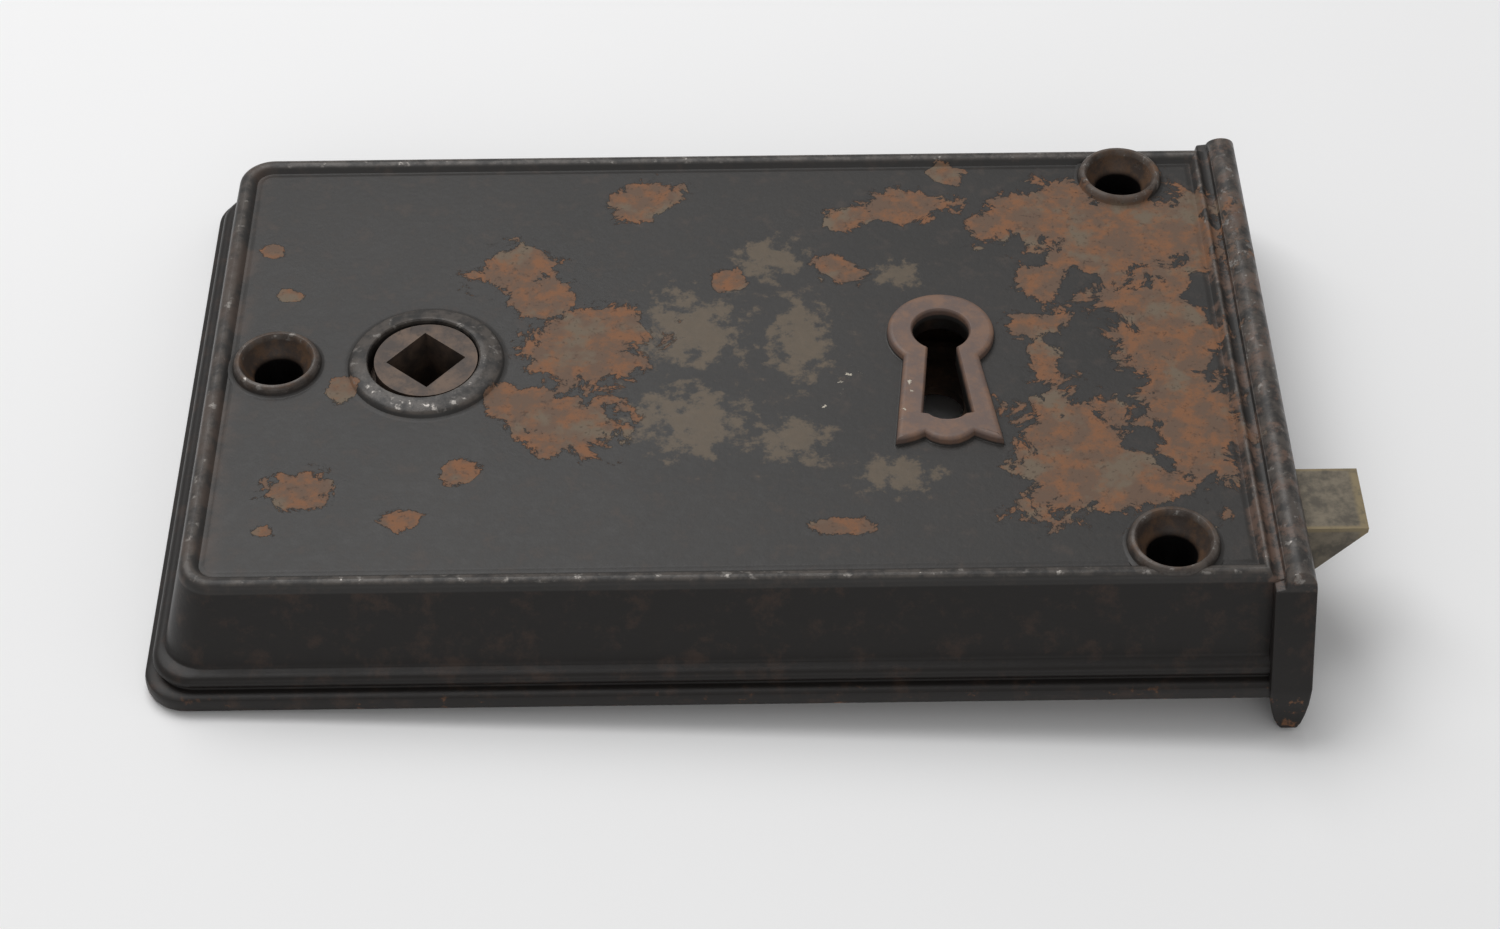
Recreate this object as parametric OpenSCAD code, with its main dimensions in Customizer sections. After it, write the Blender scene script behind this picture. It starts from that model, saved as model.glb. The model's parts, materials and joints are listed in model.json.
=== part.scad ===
// Rim lock: a cast-iron box that screws to the inside face of a door, with its
// front plate folded over the door's edge. A spindle draws back a sprung brass
// latch bolt, and a key throws a brass dead bolt past a single lever.
// Frame: the spindle axis meets the door's face at the origin, +X runs to the
// front plate and the door's edge, +Y is up and +Z points into the room.

/* [Case] */
// From the spindle axis to the front face of the front plate
backset = 120.65; // [115:0.05:160]
// From the spindle axis to the rear edge of the top
rear_len = 30.5; // [30.5:0.5:60]
// Width across the top
case_w = 87.8; // [86:0.2:120]
// How far the middle of the case lies above the spindle axis
case_rise = 1.0; // [0:0.5:3]
// Height of the case from the door's face to its rim
case_h = 16.5; // [16.5:0.5:26]
// Thickness of the cast top and walls
wall = 2.4; // [2:0.1:3]
// Height of the raised rim above the panel
rim_h = 0.8; // [0.4:0.1:1.2]
// Width of the raised rim
rim_w = 2.1; // [1.6:0.1:3]
// Radius of the top's rear corners
corner_r = 4.8; // [3:0.1:8]
// How much larger those corners are at the foot of the walls
corner_grow = 1; // [0:0.1:3]
// Radius of the base flange's rear corners
foot_corner_r = 6; // [5:0.5:10]
// How far the long walls lean out below the rim
side_lean = 4.4; // [2:0.1:6]
// How far the rear wall leans out below the rim
rear_lean = 3.0; // [2:0.1:6]
// How far the base flange stands out from the long walls
side_flange = 3.6; // [2:0.1:6]
// How far the base flange stands out from the rear wall
rear_flange = 2.8; // [2:0.1:6]
// Height of the base flange with its bead
flange_h = 5.0; // [4:0.1:6]
// Height of the plain plinth under the bead
plinth_h = 2.6; // [1.5:0.1:3]

/* [Front plate] */
// Thickness of the front plate
front_t = 5.2; // [4.5:0.1:7]
// How far the front plate hangs below the door's face
lip = 6; // [3:0.5:12]
// Length cut off the lip's two lower corners
lip_cut = 0.8; // [0.4:0.1:2.4]
// How much thicker the front plate is above the door's face
front_step = 0.4; // [0.2:0.1:1]
// Radius of the round bead along the front plate's top
front_bead_r = 2.1; // [1.5:0.1:2.5]
// How far the front plate's bead stands above the rim
front_rise = 1.1; // [0.5:0.1:2]
// How far the front plate stands out past the walls at each end
front_end = 1.2; // [0.5:0.1:3]
// Width of the cove behind the front plate's bead
cove_w = 1.6; // [1:0.1:2.5]

/* [Back plate] */
// Thickness of the back plate
plate_t = 1.5; // [1:0.1:2.5]
// Width of the ledge that the back plate sits on
ledge_w = 1.2; // [0.8:0.1:2]
// Gap round the edge of the back plate
plate_gap = 0.15; // [0.1:0.05:0.3]
// Radius of the back plate's screws
plate_screw_r = 1.3; // [1:0.1:1.5]

/* [Fixing screws] */
// Radius of the holes for the fixing screws
screw_r = 3.4; // [2.5:0.1:3.6]
// Radius of the countersink at the top
sink_r = 5.1; // [4:0.1:5.2]
// Depth of the countersink
sink_h = 3.2; // [2:0.1:3.6]
// Outer radius of the raised ring round each hole
boss_r = 5.9; // [5.6:0.1:6]
// Outer radius of the post inside the case
post_r = 4.7; // [4.4:0.1:4.9]
// From the spindle axis back to the rear screw
rear_screw = 21.2; // [21:0.2:24]
// From the front face back to the pair of front screws
front_screws = 18.25; // [17:0.25:19]
// From the rim's outer edge to each front screw
screw_inset = 6.1; // [6.1:0.1:6.5]
// Height of the raised rings above the panel
ring_h = 1.4; // [0.8:0.1:2]

/* [Spindle hub] */
// Side of the square spindle hole
spindle = 7.95; // [6:0.05:8.2]
// Turn of the square hole from the case's own axes, in degrees
spindle_turn = 49.5; // [0:0.5:90]
// Radius of the hub's neck in the top
neck_r = 7.35; // [6.8:0.05:7.6]
// Radius of the worn hole round the neck
neck_hole_r = 7.93; // [7.9:0.01:8.2]
// How far the worn hole's middle lies off the spindle axis
neck_hole_shift = -0.35; // [-0.35:0.05:0]
// Outer radius of the raised ring round the neck
hub_ring_r = 11; // [10:0.2:13]
// How far the neck's end lies below the ring
neck_drop = 0.5; // [0:0.1:1]
// Radius of the hub's collar inside the case
collar_r = 9.5; // [9:0.1:11]
// Radius of the hub's journal in the back plate
journal_r = 7; // [6.6:0.1:7.2]
// Running clearance of the journal
journal_gap = 0.05; // [0.02:0.01:0.1]
// Half width of the horn, and radius of its nose
horn_r = 3; // [2.5:0.1:3.5]
// Thickness of the horn
horn_t = 3.4; // [2.5:0.1:3.5]
// Turn of the hub that draws the latch right back, in degrees
hub_swing = 24; // [20:0.5:26]

/* [Latch bolt] */
// How far the latch bolt's middle lies below the spindle axis
latch_drop = 26; // [24:0.5:30]
// Width of the latch bolt's head
latch_w = 11.4; // [9:0.1:12]
// How far the head stands out of the front plate
latch_out = 9.15; // [7:0.05:9.5]
// Length of the head
latch_len = 25.8; // [24:0.2:30]
// Flat left on the head's tip
latch_tip = 0.8; // [0.4:0.1:2]
// Width of the iron tail
tail_w = 8; // [6:0.5:9]
// Thickness of the iron tail
tail_t = 4; // [3:0.1:4]
// Length of the lug that the horn pushes
lug_len = 5; // [4:0.5:6]
// Radius of the rod inside the spring
rod_r = 1.5; // [1:0.1:1.8]
// Length of that rod
rod_len = 6; // [4:0.5:7]

/* [Dead bolt] */
// From the front face back to the key's axis
key_back = 47.2; // [46:0.1:50]
// How far the key's axis lies above the spindle axis
key_rise = 4.7; // [3:0.1:6]
// Reach of the key's bit from its axis
key_reach = 17.6; // [16:0.1:18]
// Travel of the dead bolt
throw = 10; // [8:0.5:10]
// Height of the dead bolt's head in the front plate
bolt_w = 14; // [12:0.5:16]
// Length of the head
bolt_len = 19.4; // [19:0.2:21]
// How far the head lies back from the front face when it is drawn in
bolt_sink = 0.3; // [0:0.1:1]
// Thickness of the iron tail
bolt_t = 3.5; // [3:0.1:3.5]
// Width of the iron tail
bolt_tail_w = 10.5; // [10:0.5:12]
// How deep the key's bit reaches into the tail
key_bite = 3.8; // [3:0.1:4.2]
// Radius of the stump that passes the lever's gate
stump_r = 1.6; // [1.2:0.1:1.8]

/* [Lever] */
// Thickness of the lever
lever_t = 2.5; // [2:0.1:2.5]
// Radius of the post that the lever turns on
pivot_r = 1.9; // [1.5:0.1:2.2]
// Running clearance of the lever on that post
pivot_gap = 0.05; // [0.02:0.01:0.1]
// Turn of the lever while the bolt is thrown, in degrees
lever_swing = 6.5; // [6:0.1:7]
// From the pivot to the stump
stump_reach = 30; // [29:0.5:31]

/* [Keyhole] */
// Radius of the keyhole's round top
key_r = 4.06; // [3.5:0.01:4.3]
// Half width of the slot under it
slot_top = 2; // [1.6:0.1:2.4]
// Half width of the slot's foot
slot_foot = 3.5; // [3:0.1:4]
// From the key's axis down to the slot's foot
slot_len = 16.8; // [15:0.1:17]
// Width of the raised edge round the keyhole
scutcheon_w = 3.7; // [3:0.1:4]

/* [Clearances] */
// Gap round each bolt's head in the front plate
bolt_gap = 0.2; // [0.1:0.05:0.3]
// Gap between parts that slide or swing past each other
slide_gap = 0.3; // [0.2:0.05:0.5]
// Gap between a rivet or pin and its hole
rivet_gap = 0.04; // [0.02:0.01:0.08]

/* [Hidden] */
$fn = 64;
eps = 0.01;
big = 100;

// Heights above the door's face
panel_z = case_h - rim_h;
ceiling_z = panel_z - wall;
ring_z = panel_z + ring_h;
front_z = case_h + front_rise;

// Plan of the case
case_hw = case_w / 2;
front_x = backset;
front_back_x = front_x - front_t;
plate_back_x = front_back_x - front_step;
bead_back_x = front_x - 2 * front_bead_r;
rear_x = -rear_len;
lean_h = case_h - flange_h;
screw_x = front_x - front_screws;
screw_dy = case_hw - screw_inset;

// Latch bolt
latch_y = -latch_drop;
latch_z = plate_t + 1.9;
latch_top = ceiling_z - slide_gap;
latch_tip_x = front_x + latch_out;
latch_rear_x = latch_tip_x - latch_len;
latch_lap = 8;
tail_z = plate_t + 2.5;
tail_top = tail_z + tail_t;
horn_z = tail_top + 0.6;
horn_reach = latch_drop - tail_w / 2;
latch_travel = horn_reach * hub_swing * PI / 180;
lug_x = -horn_r - bolt_gap;
lug_top = horn_z + horn_t;
lug_y = -horn_reach + 2;
spring_z = tail_z + 3.6;
spring_r = 2.7;
wire_r = 0.45;
peg_out = 1.2;
peg_in = 2.4;
stop_x = lug_x - lug_len - rod_len - latch_travel - peg_out - 0.5;
guide_x = 30;
guide_screw_r = 1.2;
guide_head_r = 2.3;
guide_head_h = 1.3;
guide_ear_z = 8.9;
guide_seat_z = 10.4;
guide_post_r = 3;
plate_post_r = 3.2;
rivet_r = 1.3;

// Dead bolt
key_x = front_x - key_back;
key_y = key_rise;
bolt_z = plate_t + 2.1;
bolt_top = bolt_z + bolt_t;
bolt_y = key_y + key_reach - key_bite;
bolt_rear_x = key_x - 35.4;
bolt_front_x = front_x - bolt_sink;
bolt_head_x = bolt_front_x - bolt_len;
bolt_head_y = bolt_y - 3;
bolt_lap = 8;
pivot_x = key_x - 21.45;
pivot_y = bolt_y + 4.7;
bite_half = sqrt(pow(key_reach, 2) - pow(key_reach - key_bite, 2));
bit_half = 1.25;
talon_w = 2 * (bite_half + bit_half) - throw;
talon_x = key_x - bite_half - bit_half;

// Lever: the stump's place against it, with the bolt s millimetres out
lever_z = bolt_top + slide_gap;
lever_top = lever_z + lever_t;
stump_x = pivot_x + stump_reach;
stump_y = bolt_y + 9;
function stump_at(s) =
  let (a = lever_swing * s / throw,
       dx = stump_reach + s,
       dy = stump_y - pivot_y)
  [pivot_x + dx * cos(a) + dy * sin(a),
   pivot_y + dy * cos(a) - dx * sin(a)];
gate_gap = stump_r + 0.35;
gate_from = 4.2;
gate_to = 6;
over_lift = 0.8;

// Wards
ward_in_r = 10.2;
ward_t = 1.2;
ward_h = 2.4;
ward_gap = 60;

// ---------- outlines ----------

// Plan of the case from x0 to x1, its long edges hw from the middle, with two
// round corners at the rear
module plan(x0, x1, hw, r) {
  translate([x0 + r, case_rise - hw]) square([x1 - x0 - r, 2 * hw]);
  translate([x0, case_rise - hw + r]) square([r + eps, 2 * (hw - r)]);
  for (s = [-1, 1])
    translate([x0 + r, case_rise + s * (hw - r)]) circle(r, $fn = 32);
}

// The outer walls' lean at height z, as a share of the whole
function lean(z) = (case_h - z) / lean_h;
function rear_wall_x(z) = rear_x - rear_lean * lean(z);
function side_wall(z) = case_hw + side_lean * lean(z);
function wall_corner(z) = corner_r + corner_grow * lean(z);

// Leaning block between two heights, inset from the outer walls, up to x1
module leaning_block(z0, z1, inset, x1) {
  hull() for (z = [z0, z1])
    translate([0, 0, z - (z == z1 ? eps : 0)]) linear_extrude(eps)
      plan(rear_wall_x(z) + inset, x1, side_wall(z) - inset,
           wall_corner(z) - inset / 2);
}

module keyhole_outline() {
  foot_r = 8;
  flare = (slot_foot - slot_top) / slot_len;
  deep = slot_len + 4;
  translate([key_x, key_y]) {
    circle(key_r);
    intersection() {
      polygon([[-slot_top, 0], [slot_top, 0],
               [slot_top + flare * deep, -deep], [-slot_top - flare * deep, -deep]]);
      translate([0, foot_r - slot_len - 1.3]) circle(foot_r);
    }
  }
}

module scutcheon_outline() {
  foot_y = -slot_len - scutcheon_w - 1.8;
  lobe_r = 4.6;
  lobe_h = 1.6;
  waist = slot_top + scutcheon_w - 1;
  foot = slot_foot + scutcheon_w + 0.3;
  translate([key_x, key_y]) {
    circle(key_r + scutcheon_w);
    difference() {
      polygon([[-waist, -3], [waist, -3], [foot, foot_y], [-foot, foot_y]]);
      for (s = [-1, 1])
        translate([s * foot / 2, foot_y + lobe_h - lobe_r]) circle(lobe_r);
    }
  }
}

// ---------- shapes that repeat ----------

module disc(r, z0, z1) {
  translate([0, 0, z0]) cylinder(r = r, h = z1 - z0);
}

module slab(x0, x1, y0, y1, z0, z1) {
  translate([x0, y0, z0]) cube([x1 - x0, y1 - y0, z1 - z0]);
}

// Places of the three fixing screws
module at_screws() {
  translate([-rear_screw, 0, 0]) children();
  for (s = [-1, 1])
    translate([screw_x, case_rise + s * screw_dy, 0]) children();
}

// Places of the two screws that hold the back plate
plate_screw_at = [[18, 36], [key_x, case_rise - case_hw + 5]];
// Places of the two screws that hold the latch guide
guide_screw_at = [for (s = [-1, 1]) [guide_x, latch_y + s * (tail_w / 2 + 6)]];

// Round wire wound along +X from the origin
module coil(len, turns, r, wire) {
  steps = 14;
  sides = 8;
  n = turns * steps;
  pitch = (len - 2 * wire) / n;
  points = [for (i = [0:n]) let (a = 360 * i / steps)
    for (j = [0:sides - 1]) let (b = 360 * j / sides, q = r + wire * cos(b))
      [wire + pitch * i + wire * sin(b), q * cos(a), q * sin(a)]];
  sleeve = [for (i = [0:n - 1]) for (j = [0:sides - 1])
    let (k = (j + 1) % sides, a = i * sides, b = a + sides)
    [a + j, a + k, b + k, b + j]];
  ends = [[for (j = [sides - 1:-1:0]) j],
          [for (j = [0:sides - 1]) n * sides + j]];
  polyhedron(points, concat(sleeve, ends), convexity = 10);
}

// Countersunk screw let into the back plate from below
module plate_screw() {
  difference() {
    union() {
      translate([0, 0, 0.05]) cylinder(r1 = 2 * plate_screw_r, r2 = plate_screw_r, h = plate_screw_r);
      disc(plate_screw_r, plate_screw_r, 9);
    }
    slab(-4, 4, -0.3, 0.3, 0, 0.6);
  }
}

module plate_screw_hole() {
  translate([0, 0, 0.05])
    cylinder(r1 = 2 * plate_screw_r + rivet_gap, r2 = plate_screw_r + rivet_gap, h = plate_screw_r);
  disc(2 * plate_screw_r + rivet_gap, -1, 0.06);
  disc(plate_screw_r + rivet_gap, 0, 9.3);
}

module guide_screw() {
  difference() {
    union() {
      disc(guide_head_r, guide_ear_z - guide_head_h, guide_ear_z);
      disc(guide_screw_r, guide_ear_z - eps, ceiling_z + 1);
    }
    slab(-4, 4, -0.3, 0.3, guide_ear_z - 2, guide_ear_z - 0.8);
  }
}

// Rivet through a bolt's tail and head
module rivet(z0, z1) {
  disc(rivet_r, z0, z1);
}

module rivet_hole(z0, z1) {
  disc(rivet_r + rivet_gap, z0 - 1, z1 + 1);
}

// ---------- case ----------

module base_flange() {
  x = rear_x - rear_lean;
  hw = case_hw + side_lean;
  bead = 0.6;
  linear_extrude(plinth_h)
    plan(x - rear_flange, front_x - 2, hw + side_flange, foot_corner_r);
  linear_extrude(flange_h)
    plan(x - bead * rear_flange, front_x - 2, hw + bead * side_flange, foot_corner_r);
}

module front_plate() {
  top_hw = case_hw + front_end;
  base_hw = case_hw + side_lean + side_flange + front_end / 2;
  foot_r = front_t / 2;
  intersection() {
    translate([plate_back_x - 1, case_rise, 0]) rotate([90, 0, 90])
      linear_extrude(front_t + front_step + 2) polygon([
        [-top_hw, front_z], [top_hw, front_z],
        [base_hw, plinth_h], [base_hw, lip_cut - lip],
        [base_hw - lip_cut, -lip], [lip_cut - base_hw, -lip],
        [-base_hw, lip_cut - lip], [-base_hw, plinth_h]]);
    translate([0, big, 0]) rotate([90, 0, 0]) linear_extrude(2 * big) {
      translate([front_back_x, foot_r - lip])
        square([front_t, panel_z + lip - foot_r]);
      translate([plate_back_x, 0]) square([front_t, panel_z]);
      translate([front_back_x + foot_r, foot_r - lip]) circle(foot_r);
      translate([bead_back_x, 0])
        square([2 * front_bead_r, front_z - front_bead_r]);
      translate([bead_back_x + front_bead_r, front_z - front_bead_r])
        circle(front_bead_r);
    }
  }
}

// Posts, bosses and blocks cast inside the case, which grow out of its top
module inner_blocks() {
  z1 = ceiling_z + 1;
  stop_z = tail_z;
  seat_z = lever_z - 2;
  seat_y = stump_y + 14;
  at_screws() disc(post_r, plate_t, z1);
  for (p = plate_screw_at) translate(p) disc(plate_post_r, plate_t, z1);
  for (p = guide_screw_at) translate(p) disc(guide_post_r, guide_seat_z, z1);
  translate([0, latch_y + 4, 0]) rotate([90, 0, 0]) linear_extrude(8)
    polygon([[stop_x, stop_z], [stop_x, z1], [rear_wall_x(z1) + 1, z1],
             [rear_wall_x(stop_z) + 1, stop_z]]);
  translate([pivot_x + 10, 0, 0]) rotate([90, 0, 90]) linear_extrude(8)
    polygon([[seat_y, seat_z], [case_rise + side_wall(seat_z) - 1, seat_z],
             [case_rise + side_wall(z1) - 1, z1], [seat_y, z1]]);
}

// Outline of the back plate, or of its seat with no gap
module plate_outline(gap) {
  edge = wall - ledge_w + gap;
  plan(rear_wall_x(plate_t) + edge, plate_back_x - gap,
       side_wall(plate_t) - edge, wall_corner(plate_t) - gap);
}

module panel_recess() {
  translate([0, 0, panel_z]) linear_extrude(case_h)
    plan(rear_x + rim_w, bead_back_x - cove_w - 1.3, case_hw - rim_w, corner_r - rim_w);
}

module case_holes() {
  at_screws() {
    disc(screw_r, -1, case_h + 2);
    translate([0, 0, ring_z - sink_h])
      cylinder(r1 = screw_r, r2 = sink_r, h = sink_h);
    disc(sink_r, ring_z - eps, ring_z + 3);
  }
  for (p = plate_screw_at) translate(p) plate_screw_hole();
  for (p = guide_screw_at) translate(p) disc(guide_screw_r + rivet_gap, guide_ear_z, ceiling_z + 1.1);
  translate([neck_hole_shift, 0, 0]) disc(neck_hole_r, ceiling_z - 1, ring_z + 1);
  translate([0, 0, ceiling_z - 1]) linear_extrude(case_h) keyhole_outline();
  slab(plate_back_x - 1, front_x + 1, latch_y - latch_w / 2 - bolt_gap,
       latch_y + latch_w / 2 + bolt_gap, latch_z - bolt_gap, latch_top + bolt_gap);
  slab(plate_back_x - 1, front_x + 1, bolt_head_y - bolt_gap,
       bolt_head_y + bolt_w + bolt_gap, latch_z - bolt_gap, latch_top + bolt_gap);
  translate([pivot_x, pivot_y, 0]) disc(pivot_r + rivet_gap, ceiling_z - 1, ceiling_z + 1.5);
  translate([stop_x - peg_in - 0.1, latch_y, spring_z]) rotate([0, 90, 0])
    cylinder(r = rod_r + rivet_gap, h = peg_in + 1);
}

// The case's outside, solid, with its panel sunk inside the rim
module case_shell() {
  difference() {
    union() {
      leaning_block(flange_h - 1, case_h, 0, front_x - 2);
      base_flange();
      front_plate();
    }
    panel_recess();
    slab(bead_back_x - cove_w, bead_back_x, -big, big, panel_z, case_h + 1);
    leaning_block(plate_t - 0.3, ceiling_z, wall + 0.2, plate_back_x - 0.2);
    translate([0, 0, -1]) linear_extrude(plate_t + 1) plate_outline(0);
  }
}

module case() {
  color("#3e3b38") difference() {
    union() {
      case_shell();
      inner_blocks();
      disc(hub_ring_r, panel_z - 1, ring_z);
      at_screws() disc(boss_r, panel_z - 1, ring_z);
      translate([0, 0, panel_z - 1]) linear_extrude(ring_h + 1) scutcheon_outline();
    }
    case_holes();
  }
}

// ---------- back plate ----------

module back_plate() {
  color("#5a4b3f") difference() {
    linear_extrude(plate_t) plate_outline(plate_gap);
    at_screws() disc(screw_r + 0.2, -1, plate_t + 1);
    for (p = plate_screw_at) translate(p) plate_screw_hole();
    disc(journal_r + journal_gap, -1, plate_t + 1);
    translate([0, 0, -1]) linear_extrude(plate_t + 2) keyhole_outline();
  }
}

module plate_screw_rear() {
  color("#6b625a") translate(plate_screw_at[0]) plate_screw();
}

module plate_screw_front() {
  color("#6b625a") translate(plate_screw_at[1]) plate_screw();
}

// ---------- hub ----------

module hub() {
  color("#4b4038") difference() {
    union() {
      disc(journal_r, 0.2, plate_t + 1);
      disc(collar_r, plate_t + 0.1, ceiling_z - 0.1);
      disc(neck_r, ceiling_z - 1, ring_z - neck_drop);
      slab(-horn_r, horn_r, -horn_reach, 0, horn_z, horn_z + horn_t);
      translate([0, -horn_reach, 0]) disc(horn_r, horn_z, horn_z + horn_t);
    }
    rotate(spindle_turn) translate([0, 0, -1])
      linear_extrude(big) square(spindle, center = true);
  }
}

// ---------- latch bolt ----------

module at_latch_rivet(i) {
  translate([latch_rear_x + latch_lap / 2 + i * 1.9, latch_y, 0]) children();
}

module latch_head() {
  bevel = latch_top - latch_tip - latch_z;
  color("#8c7d58") difference() {
    translate([0, latch_y + latch_w / 2, 0]) rotate([90, 0, 0])
      linear_extrude(latch_w) polygon([
        [latch_rear_x, tail_top], [latch_rear_x + latch_lap, tail_top],
        [latch_rear_x + latch_lap, latch_z], [latch_tip_x - 0.87 * bevel, latch_z],
        [latch_tip_x, latch_top - latch_tip], [latch_tip_x, latch_top],
        [latch_rear_x, latch_top]]);
    for (i = [-1, 1]) at_latch_rivet(i) rivet_hole(tail_z, latch_top);
  }
}

module latch_tail() {
  y0 = latch_y - tail_w / 2;
  color("#4d4640") difference() {
    union() {
      slab(lug_x - lug_len, latch_rear_x + latch_lap, y0, y0 + tail_w, tail_z, tail_top);
      slab(lug_x - lug_len, lug_x, y0, lug_y, tail_z, lug_top);
    }
    for (i = [-1, 1]) at_latch_rivet(i) rivet_hole(tail_z, latch_top);
    translate([lug_x - lug_len - 1, latch_y, spring_z]) rotate([0, 90, 0])
      cylinder(r = rod_r + rivet_gap, h = 4);
  }
}

module latch_rivet_rear() {
  color("#7a6f5c") at_latch_rivet(-1) rivet(tail_z, latch_top);
}

module latch_rivet_front() {
  color("#7a6f5c") at_latch_rivet(1) rivet(tail_z, latch_top);
}

module spring_rod() {
  color("#6b625a") translate([lug_x - lug_len - rod_len, latch_y, spring_z])
    rotate([0, 90, 0]) cylinder(r = rod_r, h = rod_len + 2.9);
}

module latch_spring() {
  color("#75706a") translate([stop_x + 0.05, latch_y, spring_z])
    coil(lug_x - lug_len - stop_x - 0.1, 8, spring_r, wire_r);
}

// Peg in the stop that centres the spring's far end
module spring_peg() {
  color("#6b625a") translate([stop_x - peg_in, latch_y, spring_z])
    rotate([0, 90, 0]) cylinder(r = rod_r, h = peg_in + peg_out);
}

module latch_guide() {
  half = tail_w / 2 + slide_gap;
  side = half + 1.6;
  ear = half + 8.5;
  color("#5b5148") difference() {
    translate([guide_x - 4, latch_y, 0]) rotate([90, 0, 90]) linear_extrude(8)
      polygon([
        [-ear, guide_ear_z], [-side, guide_ear_z], [-side, tail_z - 1.7],
        [side, tail_z - 1.7], [side, guide_ear_z], [ear, guide_ear_z],
        [ear, guide_seat_z], [half, guide_seat_z], [half, tail_z - slide_gap],
        [-half, tail_z - slide_gap], [-half, guide_seat_z], [-ear, guide_seat_z]]);
    for (p = guide_screw_at) translate(p) disc(guide_screw_r + rivet_gap, 0, big);
  }
}

module guide_screw_upper() {
  color("#6b625a") translate(guide_screw_at[1]) guide_screw();
}

module guide_screw_lower() {
  color("#6b625a") translate(guide_screw_at[0]) guide_screw();
}

// ---------- dead bolt ----------

module at_bolt_rivet(i) {
  translate([bolt_head_x + bolt_lap / 2 + i * 1.9, bolt_y + 4, 0]) children();
}

module dead_bolt_head() {
  color("#8c7d58") difference() {
    union() {
      slab(bolt_head_x, bolt_front_x, bolt_head_y, bolt_head_y + bolt_w, bolt_top, latch_top);
      slab(bolt_head_x + bolt_lap, bolt_front_x, bolt_head_y, bolt_head_y + bolt_w, latch_z, latch_top);
    }
    for (i = [-1, 1]) at_bolt_rivet(i) rivet_hole(bolt_z, latch_top);
  }
}

module dead_bolt_tail() {
  slot = pivot_r + 0.25;
  color("#4d4640") difference() {
    slab(bolt_rear_x, bolt_head_x + bolt_lap, bolt_y, bolt_y + bolt_tail_w, bolt_z, bolt_top);
    slab(talon_x, talon_x + talon_w, bolt_y - 1, bolt_y + key_bite + 0.6, 0, big);
    slab(pivot_x - throw, pivot_x, pivot_y - slot, pivot_y + slot, 0, big);
    for (x = [pivot_x - throw, pivot_x]) translate([x, pivot_y, 0]) disc(slot, 0, big);
    for (i = [-1, 1]) at_bolt_rivet(i) rivet_hole(bolt_z, latch_top);
    translate([stump_x, stump_y, 0]) disc(stump_r - 0.4 + rivet_gap, 0, big);
  }
}

module bolt_rivet_rear() {
  color("#7a6f5c") at_bolt_rivet(-1) rivet(bolt_z, latch_top);
}

module bolt_rivet_front() {
  color("#7a6f5c") at_bolt_rivet(1) rivet(bolt_z, latch_top);
}

module stump() {
  color("#6b625a") translate([stump_x, stump_y, 0]) {
    disc(stump_r - 0.4, bolt_z, bolt_top + 0.1);
    disc(stump_r, bolt_top, lever_top + 0.4);
  }
}

// ---------- lever ----------

// The stump's way through the lever: a pocket at each end and a gate between
module gate_outline() {
  low = stump_at(throw)[1] - gate_gap;
  high = stump_at(0)[1] + gate_gap;
  x0 = stump_at(0)[0] - gate_gap;
  x1 = stump_at(gate_from)[0];
  x2 = stump_at(gate_to)[0];
  x3 = stump_at(throw)[0] + gate_gap;
  neck_low = stump_at(gate_to)[1] - gate_gap;
  neck_high = stump_at(gate_from)[1] + gate_gap;
  translate([x0, neck_low - over_lift]) square([x1 - x0, high - neck_low + over_lift]);
  translate([x2, low]) square([x3 - x2, high - low]);
  translate([x1 - 1, neck_low]) square([x2 - x1 + 2, neck_high - neck_low]);
}

module lever() {
  rim = 2.2;
  low = stump_at(throw)[1] - gate_gap - rim;
  high = stump_at(0)[1] + gate_gap + rim;
  tip_x = stump_at(throw)[0] + gate_gap + rim;
  belly_drop = (key_x - pivot_x) * sin(lever_swing / 2);
  color("#8a7c5e") difference() {
    translate([0, 0, lever_z]) linear_extrude(lever_t) difference() {
      union() {
        translate([pivot_x, pivot_y]) circle(5);
        polygon([[pivot_x, pivot_y - 4], [key_x - 14, pivot_y - 5.2],
                 [stump_x - 6, low], [tip_x, low], [tip_x, high],
                 [stump_x - 8, high], [pivot_x, pivot_y + 5]]);
        translate([pivot_x + 11, pivot_y])
          square([6, stump_y + 5 - pivot_y]);
      }
      translate([key_x, key_y - belly_drop]) circle(key_reach + 0.5);
      gate_outline();
    }
    translate([pivot_x, pivot_y, 0]) disc(pivot_r + pivot_gap, 0, big);
  }
}

module lever_pivot() {
  color("#6b625a") translate([pivot_x, pivot_y, 0]) {
    disc(pivot_r, plate_t + 0.1, ceiling_z + 1.4);
    disc(3.4, lever_top + 0.1, ceiling_z - 0.02);
  }
}

module lever_spring() {
  y0 = stump_y + 5.05;
  color("#75706a") translate([pivot_x + 14, y0, (lever_z + lever_top) / 2])
    rotate([0, 0, 90]) coil(stump_y + 13.95 - y0, 5, 2.2, 0.4);
}

// ---------- wards ----------

// Ring wards that turn a wrong key, open below for the right one
module ward(z) {
  translate([key_x, key_y, z]) rotate(ward_gap / 2 - 90)
    rotate_extrude(angle = 360 - ward_gap)
      translate([ward_in_r, 0]) square([ward_t, ward_h]);
}

module top_ward() {
  color("#6b625a") ward(ceiling_z - ward_h);
}

module plate_ward() {
  color("#6b625a") ward(plate_t);
}

case();
back_plate();
plate_screw_rear();
plate_screw_front();
hub();
latch_head();
latch_tail();
latch_rivet_rear();
latch_rivet_front();
spring_rod();
spring_peg();
latch_spring();
latch_guide();
guide_screw_upper();
guide_screw_lower();
dead_bolt_head();
dead_bolt_tail();
bolt_rivet_rear();
bolt_rivet_front();
stump();
lever();
lever_pivot();
lever_spring();
top_ward();
plate_ward();
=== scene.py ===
import json
import math
import bpy
import bmesh
from mathutils import Matrix, Vector


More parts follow.
